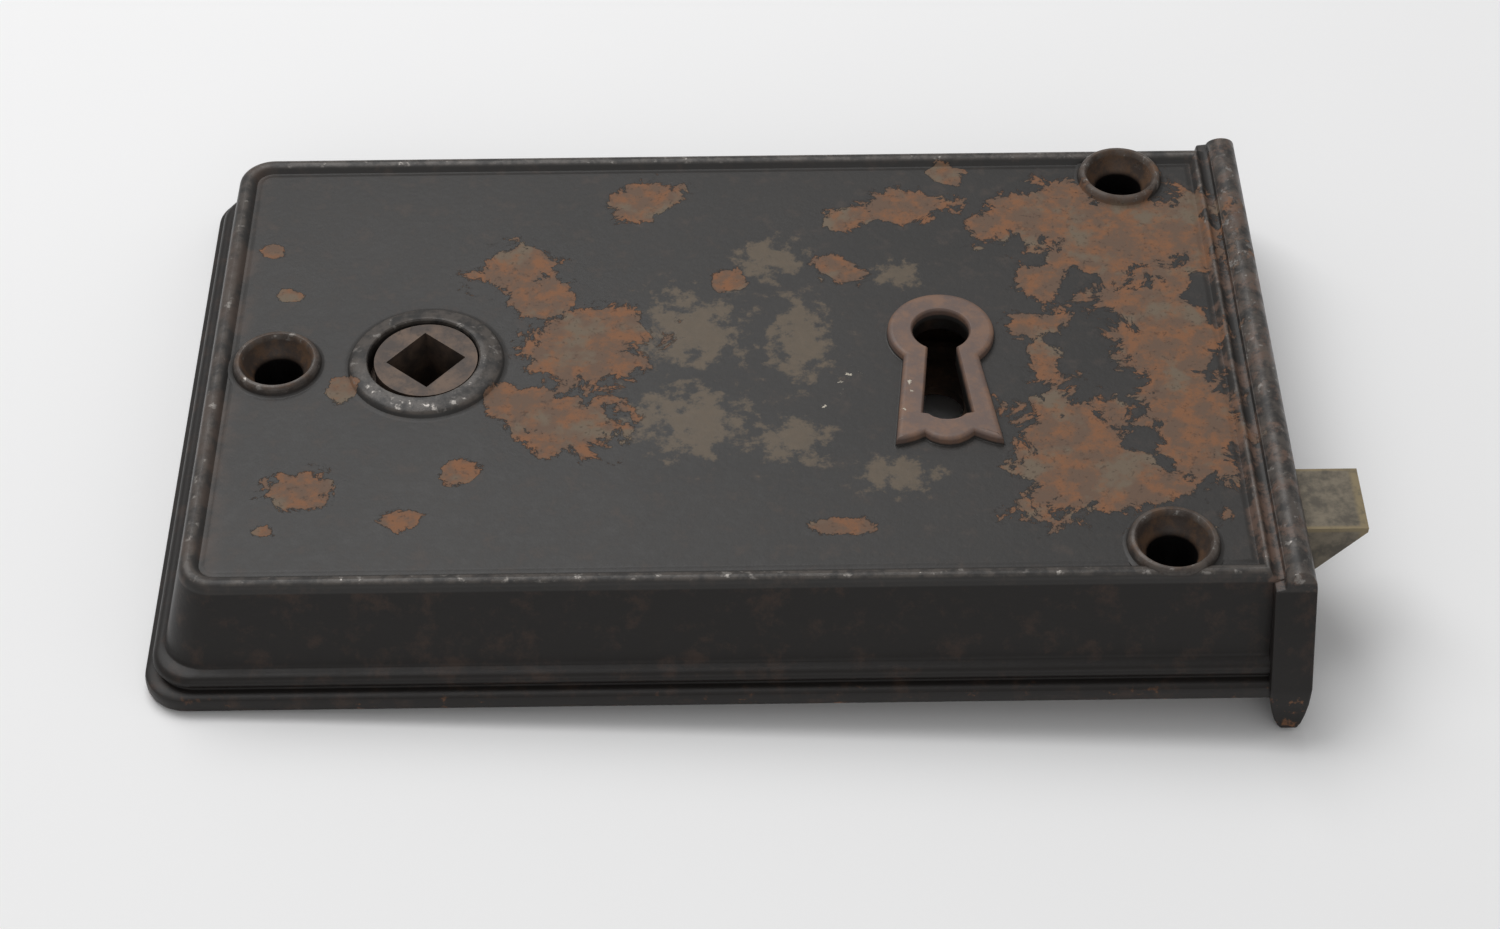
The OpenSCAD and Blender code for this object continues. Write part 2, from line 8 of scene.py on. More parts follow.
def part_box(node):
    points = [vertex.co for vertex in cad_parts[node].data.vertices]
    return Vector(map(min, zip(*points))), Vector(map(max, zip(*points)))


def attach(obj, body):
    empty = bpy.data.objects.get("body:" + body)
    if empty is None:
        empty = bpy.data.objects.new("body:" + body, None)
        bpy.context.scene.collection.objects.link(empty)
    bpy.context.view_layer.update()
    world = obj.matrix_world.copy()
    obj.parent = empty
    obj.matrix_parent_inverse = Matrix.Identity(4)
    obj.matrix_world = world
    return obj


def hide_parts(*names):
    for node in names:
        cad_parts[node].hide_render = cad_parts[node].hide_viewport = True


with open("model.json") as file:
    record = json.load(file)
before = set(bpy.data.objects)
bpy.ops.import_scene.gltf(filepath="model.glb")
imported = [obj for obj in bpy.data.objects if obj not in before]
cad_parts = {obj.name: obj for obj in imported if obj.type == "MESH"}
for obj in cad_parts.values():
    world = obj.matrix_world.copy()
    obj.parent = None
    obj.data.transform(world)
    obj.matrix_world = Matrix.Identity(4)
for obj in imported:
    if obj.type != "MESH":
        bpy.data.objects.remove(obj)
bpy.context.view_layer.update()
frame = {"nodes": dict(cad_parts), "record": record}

MM = 0.001
PI = math.pi
scene = bpy.context.scene

# ---------------------------------------------------------------- sizes, in mm
FRONT_RISE = 1.1    # front bead above the rim
SIDE_LEAN = 4.4     # lean of the long walls
REAR_LEAN = 3.0     # lean of the rear wall
SIDE_FLANGE = 3.6   # base flange beyond the long walls
REAR_FLANGE = 2.8   # base flange beyond the rear wall
FLANGE_H = 5.0      # height of the base flange
PLINTH_H = 2.6      # height of its plain foot
END_OVER = 1.2      # front plate beyond the top at each end
LIP_CUT = 0.8       # corner cut off the lip
CEILING = 14.2      # a height inside the thickness of the top

case_lo, case_hi = [[c / MM for c in v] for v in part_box("case")]
latch_lo, latch_hi = [[c / MM for c in v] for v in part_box("latch_head")]
dead_lo, dead_hi = [[c / MM for c in v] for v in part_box("dead_bolt_head")]
MOUNT = {m["name"]: [c / MM for c in m["pos_m"]] for m in frame["record"]["mounts"]}

mid_y = (case_lo[1] + case_hi[1]) / 2
front_x = case_hi[0]
base_hw = (case_hi[1] - case_lo[1]) / 2
bead_top = case_hi[2]
rim_z = bead_top - FRONT_RISE
top_hw = base_hw - SIDE_LEAN - SIDE_FLANGE - END_OVER / 2
rear_x = case_lo[0] + REAR_LEAN + REAR_FLANGE
corner = 4.8
key_x, key_y = MOUNT["keyhole"][0], MOUNT["keyhole"][1]
LATCH_Y = MOUNT["latch_bolt"][1]
pair = MOUNT["screws_front"]
apart = next(m["dims"]["spacing_y_mm"] for m in frame["record"]["mounts"] if m["name"] == "screws_front") / 2
SCREWS = [(MOUNT["screw_rear"][0], 0.0), (pair[0], pair[1] + apart), (pair[0], pair[1] - apart)]
PLATE_SCREWS = [(18.0, 36.0), (key_x, mid_y - top_hw + 5.0)]
GUIDE_SCREWS = [(30.0, LATCH_Y - 10.0), (30.0, LATCH_Y + 10.0)]


# ---------------------------------------------------------------- mesh helpers
def make(name, verts, faces):
    mesh = bpy.data.meshes.new(name)
    mesh.from_pydata([[c * MM for c in v] for v in verts], [], faces)
    bm = bmesh.new()
    bm.from_mesh(mesh)
    bmesh.ops.recalc_face_normals(bm, faces=bm.faces)
    bm.to_mesh(mesh)
    bm.free()
    obj = bpy.data.objects.new(name, mesh)
    scene.collection.objects.link(obj)
    return obj


def loft(name, loops):
    n = len(loops[0])
    verts = [p for loop in loops for p in loop]
    faces = []
    for k in range(len(loops) - 1):
        for i in range(n):
            j = (i + 1) % n
            faces.append((k * n + i, k * n + j, (k + 1) * n + j, (k + 1) * n + i))
    faces.append(tuple(reversed(range(n))))
    faces.append(tuple((len(loops) - 1) * n + i for i in range(n)))
    return make(name, verts, faces)


def plan(x0, x1, hw, r, z, steps=12):
    pts = [(x1, mid_y - hw, z)]
    for i in range(steps + 1):
        a = -PI / 2 - PI / 2 * i / steps
        pts.append((x0 + r + r * math.cos(a), mid_y - hw + r + r * math.sin(a), z))
    for i in range(steps + 1):
        a = PI - PI / 2 * i / steps
        pts.append((x0 + r + r * math.cos(a), mid_y + hw - r + r * math.sin(a), z))
    pts.append((x1, mid_y + hw, z))
    return pts


def turned(name, x, y, profile, n=72):
    return loft(name, [[(x + r * math.cos(2 * PI * i / n), y + r * math.sin(2 * PI * i / n), z)
                        for i in range(n)] for r, z in profile])


def prism_y(name, profile, y0, y1):
    return loft(name, [[(x, y, z) for x, z in profile] for y in (y0, y1)])


def inset(points, d):
    """points moved inward by d along their mitred normals; they run counter-clockwise."""
    out = []
    n = len(points)
    for i, p in enumerate(points):
        a, b = points[i - 1], points[(i + 1) % n]
        e0 = Vector((p[0] - a[0], p[1] - a[1])).normalized()
        e1 = Vector((b[0] - p[0], b[1] - p[1])).normalized()
        m = Vector((-e0.y - e1.y, e0.x + e1.x))
        m = m.normalized() if m.length > 1e-6 else Vector((-e0.y, e0.x))
        reach = d / max(0.5, m.dot(Vector((-e0.y, e0.x))))
        out.append((p[0] + m.x * reach, p[1] + m.y * reach))
    return out


def stack(name, outline, levels):
    return loft(name, [[(x, y, z) for x, y in inset(outline, d)] for d, z in levels])


def combine(target, tool, how):
    m = target.modifiers.new(how, "BOOLEAN")
    m.operation = how
    m.solver = "MANIFOLD"
    m.object = tool
    dg = bpy.context.evaluated_depsgraph_get()
    mesh = bpy.data.meshes.new_from_object(target.evaluated_get(dg))
    target.modifiers.clear()
    old = target.data
    target.data = mesh
    bpy.data.meshes.remove(old)
    bpy.data.objects.remove(tool)
    if len(target.data.polygons) == 0:
        raise RuntimeError("an empty result from " + how)


def finish_mesh(obj, angle=34):
    obj.data.polygons.foreach_set("use_smooth", [True] * len(obj.data.polygons))
    obj.data.set_sharp_from_angle(angle=math.radians(angle))
    w = obj.modifiers.new("even shading", "WEIGHTED_NORMAL")
    w.keep_sharp = True
    w.weight = 80


# ---------------------------------------------------------------- case, body
def lean(z):
    return (rim_z - z) / (rim_z - FLANGE_H)


def side(z):
    return SIDE_LEAN * lean(z)


def rear(z):
    return REAR_LEAN * lean(z)


def corner_at(out):
    """Radius of the rear corners where the outline stands `out` beyond the top's edge."""
    return corner + (out if out < 0 else min(1.2, out / 3.0))


FOOT = [(7.5, 5.4, 0.0), (7.9, 5.72, 0.35), (8.0, 5.8, 0.8), (8.0, 5.8, 1.8), (7.85, 5.68, 2.25),
        (7.4, 5.3, 2.55), (6.7, 4.75, 2.6), (6.2, 4.4, 2.72), (6.1, 4.32, 2.95), (6.3, 4.48, 3.25),
        (6.54, 4.66, 3.7), (6.5, 4.63, 4.15), (6.25, 4.4, 4.55), (5.8, 4.05, 4.82), (5.2, 3.6, 4.93),
        (4.65, 3.2, 4.98), (4.4, 3.0, 5.15), (side(5.6), rear(5.6), 5.6)]
ARRIS = [(side(15.4), rear(15.4), 15.4), (0.24, 0.16, 15.8), (0.06, 0.03, 16.05), (-0.2, -0.2, 16.27),
         (-0.55, -0.55, 16.43), (-0.95, -0.95, 16.5)]
body = loft("case_shell", [plan(rear_x - er, front_x - 2.0, top_hw + es, corner_at(er), z)
                           for es, er, z in FOOT + ARRIS])

# The panel sunk inside the rim, with the shallow groove round it
SUNK = [(3.5, 112.4, 15.7), (3.1, 112.8, 15.62), (2.75, 113.15, 15.52), (2.45, 113.45, 15.55),
        (2.28, 113.62, 15.75), (2.1, 113.8, 16.0), (1.85, 113.98, 16.22), (1.5, 114.15, 16.4),
        (1.0, 114.3, 16.5), (0.95, 114.35, 18.5)]
combine(body, loft("panel", [plan(rear_x + t, x1, top_hw - t, corner - t if t < 4 else 0.8, z)
                             for t, x1, z in SUNK]), "DIFFERENCE")
COVE = [(114.5, 18.5), (114.55, 16.5), (114.75, 16.35), (114.95, 16.05), (115.15, 15.8), (115.5, 15.62),
        (116.0, 15.58), (116.4, 15.75), (116.55, 16.1), (116.6, 18.5)]
combine(body, prism_y("cove", COVE, -80, 80), "DIFFERENCE")

# The front plate: one section run across, cut off at its leaning ends and softened there
SECTION = [(115.05, 15.2), (115.05, 1.7), (115.45, -0.8), (115.8, -2.3), (116.2, -3.6), (116.65, -4.6),
           (117.25, -5.45), (118.0, -5.95), (118.8, -5.95), (119.45, -5.45), (119.95, -4.4),
           (120.3, -2.8), (120.58, -0.6), (120.65, 1.5)]
for i in range(13):
    a = PI * i / 12
    SECTION.append((118.55 + 2.1 * math.cos(a), 15.5 + 2.1 * math.sin(a)))


slope_out = (base_hw - top_hw - END_OVER) / (bead_top - PLINTH_H)
TIP = [(top_hw + END_OVER - slope_out, bead_top + 1.0), (base_hw, PLINTH_H),
       (base_hw, case_lo[2] + LIP_CUT), (base_hw - LIP_CUT - 0.2, case_lo[2] - 0.2)]
ENDS = TIP + [(-y, z) for y, z in reversed(TIP)]
plate = prism_y("plate", SECTION, mid_y - 80, mid_y + 80)
combine(plate, loft("ends", [[(x, mid_y + y, z) for y, z in ENDS] for x in (110.0, 125.0)]), "INTERSECT")
soft = plate.modifiers.new("soft ends", "BEVEL")
soft.width = 0.7 * MM
soft.segments = 4
soft.limit_method = "ANGLE"
soft.angle_limit = math.radians(50)
combine(body, plate, "UNION")

# ---------------------------------------------------------------- case, hollow and what stands in it
combine(body, loft("hollow", [plan(rear_x - rear(z) + 2.6, front_x - 5.8, top_hw + side(z) - 2.6,
                                   corner_at(rear(z)) - 1.3, z) for z in (1.2, 13.3)]), "DIFFERENCE")
combine(body, loft("seat", [plan(rear_x - rear(1.5) + 1.2, front_x - 5.6, top_hw + side(1.5) - 1.2,
                                 corner_at(rear(1.5)), z) for z in (-1.0, 1.5)]), "DIFFERENCE")
for x, y in SCREWS:
    combine(body, turned("post", x, y, [(4.7, 1.5), (4.7, CEILING)], 40), "UNION")
for x, y in PLATE_SCREWS:
    combine(body, turned("small_post", x, y, [(3.2, 1.5), (3.2, CEILING)], 32), "UNION")
for x, y in GUIDE_SCREWS:
    combine(body, turned("small_post", x, y, [(3.0, 10.4), (3.0, CEILING)], 32), "UNION")
STOP = [(-25.1, 4.0), (-25.1, CEILING), (-30.0, CEILING), (-32.7, 4.0)]
combine(body, prism_y("stop", STOP, LATCH_Y - 4, LATCH_Y + 4), "UNION")

# ---------------------------------------------------------------- case, raised rings
within = loft("within", [plan(rear_x - er, front_x - 2.0, top_hw + es, corner_at(er), z)
                         for es, er, z in ((side(10), rear(10), 10.0), (0.2, 0.13, 15.8), (0.0, 0.0, 16.1),
                                           (-0.2, -0.2, 20.0))])
BOSS = [(7.0, 15.0), (7.0, 15.68), (6.6, 15.74), (6.35, 15.9), (6.22, 16.25), (6.12, 16.65), (5.95, 16.92),
        (5.7, 17.07), (5.35, 17.1)]
raised = turned("hub_ring", 0, 0, [(12.0, 15.0), (12.0, 15.69), (11.5, 15.73), (11.15, 15.86), (10.98, 16.1),
                                   (10.75, 16.4), (10.35, 16.6), (9.7, 16.74), (8.9, 16.9), (8.3, 17.06)])
for x, y in SCREWS:
    combine(raised, turned("boss", x, y, BOSS), "UNION")
arc = [(key_x + 7.65 * math.cos(math.radians(a)), key_y + 7.65 * math.sin(math.radians(a)))
       for a in range(-47, 228, 5)]
FOOTLINE = [(-7.39, -22.2), (-6.2, -22.0), (-4.7, -21.5), (-3.3, -20.75), (-2.5, -21.55), (-1.3, -22.15),
            (0.05, -22.35), (1.35, -22.15), (2.6, -21.45), (3.6, -20.65), (5.1, -21.45), (6.5, -22.05),
            (7.55, -22.3)]
outline = arc + [(key_x + x, key_y + y) for x, y in FOOTLINE]
EDGE = [(-0.3, 15.0), (-0.3, 15.69), (-0.08, 15.78), (0.0, 16.0), (0.04, 16.6), (0.18, 16.85),
        (0.45, 17.02), (0.8, 17.08)]
combine(raised, stack("scutcheon", outline, EDGE), "UNION")
combine(raised, within, "INTERSECT")
combine(body, raised, "UNION")

# ---------------------------------------------------------------- case, holes
for x, y in SCREWS:
    combine(body, turned("screw_hole", x, y, [(3.4, -1.0), (3.4, 13.6), (3.5, 13.95), (3.9, 14.5),
                                              (4.45, 15.3), (4.85, 16.2), (5.08, 16.85), (5.3, 17.08),
                                              (5.7, 17.3), (5.7, 19.0)]), "DIFFERENCE")
combine(body, turned("neck_hole", -0.35, 0, [(7.93, 12.0), (7.93, 16.75), (8.0, 16.93), (8.2, 17.07),
                                             (8.5, 17.3), (8.5, 19.0)]), "DIFFERENCE")
arc = [(4.06 * math.cos(math.radians(a)), 4.06 * math.sin(math.radians(a))) for a in range(-60, 241, 6)]
SLOT = [(-3.4, -16.8), (-2.6, -16.95), (-1.85, -17.6), (-0.95, -18.0), (0.0, -18.1), (0.95, -18.0),
        (1.85, -17.6), (2.55, -17.0), (3.5, -16.8)]
keyhole = [(key_x + x, key_y + y) for x, y in arc + SLOT]
combine(body, stack("key_cut", keyhole, [(0, 12.0), (0, 16.55), (-0.08, 16.8), (-0.25, 17.0), (-0.55, 17.2),
                                         (-0.6, 19.0)]), "DIFFERENCE")
for lo, hi in ((latch_lo, latch_hi), (dead_lo, dead_hi)):
    loops = []
    for x, g in ((114.0, 0.2), (front_x - 0.45, 0.2), (front_x - 0.1, 0.42), (front_x + 1.0, 1.3)):
        loops.append([(x, lo[1] - g, lo[2] - g), (x, hi[1] + g, lo[2] - g), (x, hi[1] + g, hi[2] + g),
                      (x, lo[1] - g, hi[2] + g)])
    combine(body, loft("mouth", loops), "DIFFERENCE")
for x, y in PLATE_SCREWS:
    combine(body, turned("plate_screw_hole", x, y, [(1.34, 0.0), (1.34, 9.3)], 24), "DIFFERENCE")
finish_mesh(body)
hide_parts("case")
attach(body, "case_body")


# ---------------------------------------------------------------- materials
class Net:
    """A small builder for one procedural material. Places are in mm in the object's own frame."""

    def __init__(self, name):
        self.mat = bpy.data.materials.new(name)
        self.mat.use_nodes = True
        self.t = self.mat.node_tree
        self.shader = self.t.nodes["Principled BSDF"]
        tc = self.t.nodes.new("ShaderNodeTexCoord")
        sc = self.t.nodes.new("ShaderNodeVectorMath")
        sc.operation = "SCALE"
        sc.inputs["Scale"].default_value = 1 / MM
        self.t.links.new(tc.outputs["Object"], sc.inputs[0])
        self.p = sc.outputs[0]
        xyz = self.t.nodes.new("ShaderNodeSeparateXYZ")
        self.t.links.new(self.p, xyz.inputs[0])
        self.x, self.y, self.z = xyz.outputs

    def put(self, socket, v):
        if isinstance(v, (int, float)):
            socket.default_value = v
        elif isinstance(v, (tuple, list)):
            socket.default_value = tuple(v) + ((1.0,) if len(v) == 3 and socket.type == "RGBA" else ())
        else:
            self.t.links.new(v, socket)

    def math(self, how, a, b=0.0, c=None, clamp=False):
        n = self.t.nodes.new("ShaderNodeMath")
        n.operation, n.use_clamp = how, clamp
        self.put(n.inputs[0], a)
        self.put(n.inputs[1], b)
        if c is not None:
            self.put(n.inputs[2], c)
        return n.outputs[0]

    def noise(self, size, detail=4, rough=0.55, stretch=None, offset=0.0, bend=0.0):
        v = self.p
        if stretch or offset:
            m = self.t.nodes.new("ShaderNodeMapping")
            m.inputs["Scale"].default_value = stretch or (1, 1, 1)
            m.inputs["Location"].default_value = (offset, offset * 0.7, offset * 1.3)
            self.t.links.new(v, m.inputs["Vector"])
            v = m.outputs[0]
        n = self.t.nodes.new("ShaderNodeTexNoise")
        n.inputs["Scale"].default_value = 1.0 / size
        n.inputs["Detail"].default_value = detail
        n.inputs["Roughness"].default_value = rough
        n.inputs["Distortion"].default_value = bend
        self.t.links.new(v, n.inputs["Vector"])
        return n.outputs["Fac"]

    def step(self, v, lo, hi):
        n = self.t.nodes.new("ShaderNodeMapRange")
        n.interpolation_type = "SMOOTHSTEP"
        self.put(n.inputs["Value"], v)
        n.inputs["From Min"].default_value = lo
        n.inputs["From Max"].default_value = hi
        return n.outputs["Result"]

    def mix(self, f, a, b):
        n = self.t.nodes.new("ShaderNodeMix")
        n.data_type = "RGBA"
        self.put(n.inputs[0], f)
        self.put(n.inputs[6], a)
        self.put(n.inputs[7], b)
        return n.outputs[2]

    def blot(self, cx, cy, ax, ay, turn=0.0):
        """1 at the middle of an ellipse on the panel, 0 at its edge, less outside."""
        c, s = math.cos(math.radians(turn)), math.sin(math.radians(turn))
        dx, dy = self.math("SUBTRACT", self.x, cx), self.math("SUBTRACT", self.y, cy)
        u = self.math("MULTIPLY_ADD", dx, c / ax, self.math("MULTIPLY", dy, s / ax))
        v = self.math("MULTIPLY_ADD", dy, c / ay, self.math("MULTIPLY", dx, -s / ay))
        q = self.math("SQRT", self.math("MULTIPLY_ADD", u, u, self.math("MULTIPLY", v, v)))
        return self.math("SUBTRACT", 1.0, q)

    def most(self, values):
        """The largest of several values."""
        top = values[0]
        for v in values[1:]:
            top = self.math("MAXIMUM", top, v)
        return top

    def near(self, cx, cy, r, soft):
        dx, dy = self.math("SUBTRACT", self.x, cx), self.math("SUBTRACT", self.y, cy)
        q = self.math("SQRT", self.math("MULTIPLY_ADD", dx, dx, self.math("MULTIPLY", dy, dy)))
        return self.step(q, r + soft, r - soft)

    def bump(self, height, strength, distance, after=None):
        n = self.t.nodes.new("ShaderNodeBump")
        n.inputs["Strength"].default_value = strength
        n.inputs["Distance"].default_value = distance * MM
        self.put(n.inputs["Height"], height)
        if after:
            self.t.links.new(after, n.inputs["Normal"])
        return n.outputs[0]

    def done(self, color, rough, metal=0.0, normal=None):
        self.put(self.shader.inputs["Base Color"], color)
        self.put(self.shader.inputs["Roughness"], rough)
        self.put(self.shader.inputs["Metallic"], metal)
        self.shader.inputs["Specular IOR Level"].default_value = 0.3
        if normal:
            self.put(self.shader.inputs["Normal"], normal)
        return self.mat


# Where the japan has come away: middle, half sizes and turn of each patch on the panel
RUST = [(103.6, 26.1, 11.1, 10.3, 0), (91.3, 30.8, 9.0, 6.5, 10), (69.8, 33.5, 6.8, 3.2, 0),
        (61.4, 30.6, 3.3, 2.3, 0), (76.3, 40.1, 2.1, 1.9, 0), (105.8, 5.3, 6.5, 12.9, 0),
        (108.0, -13.1, 5.3, 11.2, 0), (90.1, -18.7, 6.9, 10.9, 0), (97.8, -24.6, 8.2, 4.8, 0),
        (88.7, 16.4, 3.2, 3.5, 0), (87.2, 6.7, 3.7, 2.6, 20), (88.1, -0.6, 2.0, 3.3, 0),
        (30.7, 35.3, 4.5, 3.0, 45), (11.1, 20.4, 5.6, 3.6, 30), (16.4, 13.3, 3.8, 3.5, 0),
        (22.5, 2.6, 6.9, 8.0, -40), (20.8, -12.6, 6.3, 5.6, 0), (13.7, -7.5, 4.5, 2.8, 10),
        (43.4, 16.7, 2.0, 2.2, 0), (58.8, 19.1, 3.5, 2.2, -25), (-15.7, -24.6, 4.1, 3.1, 20),
        (-1.7, -30.4, 2.2, 1.5, 0), (5.4, -21.5, 1.9, 1.8, 0), (58.5, -32.6, 4.0, 1.3, 0),
        (-20.7, 14.6, 1.8, 1.1, 0), (-24.3, 24.6, 1.5, 1.3, 0), (-11.4, -5.0, 1.7, 2.0, 0),
        (-20.1, -32.4, 1.6, 1.3, 0)]
WORN = [(37.5, 6.5, 10.1, 10.7, 0), (37.6, -11.9, 10.5, 9.1, 0), (53.3, 4.2, 6.4, 10.6, 0),
        (51.4, -16.1, 6.7, 5.9, 0), (66.4, -23.1, 6.9, 4.2, 0), (68.3, 17.8, 5.1, 3.5, 0),
        (49.3, 21.4, 5.9, 5.6, 0)]

# The few places where cream paint has dropped
PAINT = [(59.6, -4.6, 1.5, 4.6, -28), (56.3, -9.6, 1.2, 0.9, 0), (68.3, -6.4, 0.75, 2.6, 4),
         (67.4, -12.6, 0.8, 2.2, 0)]


def iron_case():
    k = Net("japanned_iron_worn")
    on_top = k.step(k.z, 15.1, 15.45)
    fine, mid, wide = k.noise(0.7, 3, 0.6), k.noise(3.2, 7, 0.68), k.noise(17.0, 4, 0.5, offset=4.0)
    ragged = k.noise(5.2, 9, 0.7, offset=11.0, bend=0.35)

    color = k.mix(wide, (0.025, 0.024, 0.023), (0.039, 0.036, 0.034))
    color = k.mix(k.math("MULTIPLY", k.step(mid, 0.5, 0.72), 0.5), color, (0.072, 0.055, 0.046))

    rust = k.most([k.blot(*patch) for patch in RUST])
    field = k.math("MULTIPLY_ADD", k.math("SUBTRACT", ragged, 0.5), 4.2, rust)
    bare = k.math("MULTIPLY", k.step(field, -0.26, -0.10), on_top)
    # thin dark band round each bare patch: the japan's broken edge, darkened further as painted shadow of
    # the raised paint
    flake_edge_and_shadow = k.math("SUBTRACT", k.step(field, -0.38, -0.26), k.step(field, -0.24, -0.10))
    flake_edge_and_shadow = k.math("MULTIPLY", flake_edge_and_shadow, on_top)

    worn = k.most([k.blot(*patch) for patch in WORN])
    rub = k.math("MULTIPLY_ADD", k.math("SUBTRACT", mid, 0.5), 3.4, worn)
    rub = k.math("MULTIPLY", k.step(rub, 0.12, 0.62), k.math("MULTIPLY", on_top, 0.82))
    tan = k.mix(k.noise(2.0, 5, 0.7, offset=31.0), (0.092, 0.074, 0.052), (0.165, 0.120, 0.078))
    color = k.mix(rub, color, tan)

    rust_color = k.mix(k.step(mid, 0.42, 0.64), (0.140, 0.088, 0.060), (0.225, 0.105, 0.052))
    earthy = k.step(k.noise(7.5, 4, 0.6, offset=57.0), 0.52, 0.66)
    rust_color = k.mix(earthy, rust_color, (0.160, 0.122, 0.086))
    rust_color = k.mix(k.math("MULTIPLY", k.step(fine, 0.56, 0.72), 0.5), rust_color, (0.045, 0.028, 0.02))
    color = k.mix(bare, color, rust_color)
    # the broken japan edge with its painted shadow
    color = k.mix(k.math("MULTIPLY", flake_edge_and_shadow, 0.55), color, (0.016, 0.014, 0.013))

    # Walls: nearly black, darker than the top partly as painted shade for the less-lit sides and partly
    # their own tone, with red-brown mottling and orange spots along the foot
    mottle = k.step(k.noise(4.5, 7, 0.7, offset=71.0), 0.50, 0.70)
    wall_tone_and_shade = k.mix(mottle, (0.013, 0.011, 0.010), (0.036, 0.022, 0.016))
    low = k.step(k.z, 3.2, 1.2)
    spots = k.math("MULTIPLY", k.step(k.noise(2.6, 5, 0.7, offset=83.0), 0.60, 0.70), low)
    wall_tone_and_shade = k.mix(spots, wall_tone_and_shade, (0.16, 0.07, 0.03))
    color = k.mix(on_top, wall_tone_and_shade, color)

    # Rings, key plate and screw seats are brown where the japan has rubbed off; down in the screw holes the
    # near black is painted shade
    boss = k.most([k.near(x, y, 6.0, 0.5) for x, y in SCREWS])
    # painted shade: the screw holes below the seats are coloured near black
    hole_painted_shade = k.most([k.near(x, y, 5.0, 0.2) for x, y in SCREWS])
    hole_painted_shade = k.math("MULTIPLY", hole_painted_shade, k.step(k.z, 14.4, 13.6))
    seat_color = k.mix(k.step(mid, 0.42, 0.62), (0.060, 0.044, 0.036), (0.120, 0.070, 0.042))
    color = k.mix(k.math("MULTIPLY", boss, 0.85), color, seat_color)
    plate = k.math("MULTIPLY", k.step(k.z, 15.85, 16.2), k.math("MAXIMUM", k.near(key_x, key_y, 8.6, 0.2),
                   k.math("MULTIPLY", k.step(k.math("ABSOLUTE", k.math("SUBTRACT", k.x, key_x)), 8.6, 8.2),
                          k.math("MULTIPLY", k.step(k.y, -18.4, -18.0), k.step(k.y, 6.0, 4.0)))))
    color = k.mix(plate, color, k.mix(k.step(mid, 0.40, 0.64), (0.142, 0.098, 0.082), (0.205, 0.122, 0.084)))

    # painted shade inside the screw holes
    color = k.mix(hole_painted_shade, color, (0.006, 0.005, 0.005))

    # Front bead and the rear end of the rim carry more brown
    bead = k.math("MULTIPLY", on_top, k.step(k.x, 112.5, 113.6))
    bead = k.math("MULTIPLY", bead, k.step(k.noise(4.2, 7, 0.72, offset=97.0), 0.47, 0.60))
    color = k.mix(k.math("MULTIPLY", bead, 0.75), color, (0.150, 0.094, 0.070))
    rear_band = k.step(k.noise(6.0, 5, 0.6, offset=19.0), 0.42, 0.60)
    rear_band = k.math("MULTIPLY", k.step(k.x, -24.5, -28.5), rear_band)
    rear_band = k.math("MULTIPLY", rear_band, k.math("MULTIPLY", on_top, 0.6))
    color = k.mix(rear_band, color, (0.092, 0.064, 0.050))

    # The rim's crest is rubbed, with small bright places
    crest = k.math("MULTIPLY", k.step(k.z, 16.15, 16.45), k.math("SUBTRACT", 1.0, plate))
    crest = k.math("MULTIPLY", crest, k.step(k.noise(2.4, 6, 0.68, offset=41.0), 0.38, 0.60))
    color = k.mix(k.math("MULTIPLY", crest, 0.62), color, (0.112, 0.096, 0.084))
    bright = k.math("MULTIPLY", crest, k.step(k.noise(1.6, 3, 0.6, offset=53.0), 0.60, 0.68))
    color = k.mix(k.math("MULTIPLY", bright, 0.8), color, (0.32, 0.30, 0.28))

    # Flecks of cream paint
    fleck = k.most([k.blot(*patch) for patch in PAINT])
    fleck = k.math("MULTIPLY_ADD", k.math("SUBTRACT", k.noise(1.15, 5, 0.75, offset=63.0), 0.5), 6.0, fleck)
    fleck = k.math("MULTIPLY", k.step(fleck, 1.05, 1.2), on_top)
    color = k.mix(fleck, color, (0.56, 0.51, 0.42))

    rough = k.math("MULTIPLY_ADD", mid, 0.22, 0.33)
    rough = k.math("MULTIPLY_ADD", bare, 0.26, rough)
    rough = k.math("MULTIPLY_ADD", crest, -0.12, rough, clamp=True)
    metal = k.math("MULTIPLY", bright, 0.7)
    skin = k.math("MULTIPLY_ADD", bare, -1.0, k.math("MULTIPLY", fleck, 0.9))
    normal = k.bump(skin, 0.55, 0.09)
    normal = k.bump(k.noise(0.95, 6, 0.65, offset=7.0), 0.30, 0.12, normal)
    return k.done(color, rough, metal, normal)


def plain_iron(name, dark, light, grain, rough, metal):
    k = Net(name)
    n = k.noise(grain, 7, 0.68, offset=float(len(name)))
    color = k.mix(k.step(n, 0.36, 0.66), dark, light)
    specks = k.math("MULTIPLY", k.step(k.noise(grain / 3, 4, 0.6), 0.6, 0.74), 0.6)
    color = k.mix(specks, color, [c * 0.45 for c in dark])
    return k.done(color, k.math("MULTIPLY_ADD", n, 0.25, rough), metal, k.bump(n, 0.3, 0.12))


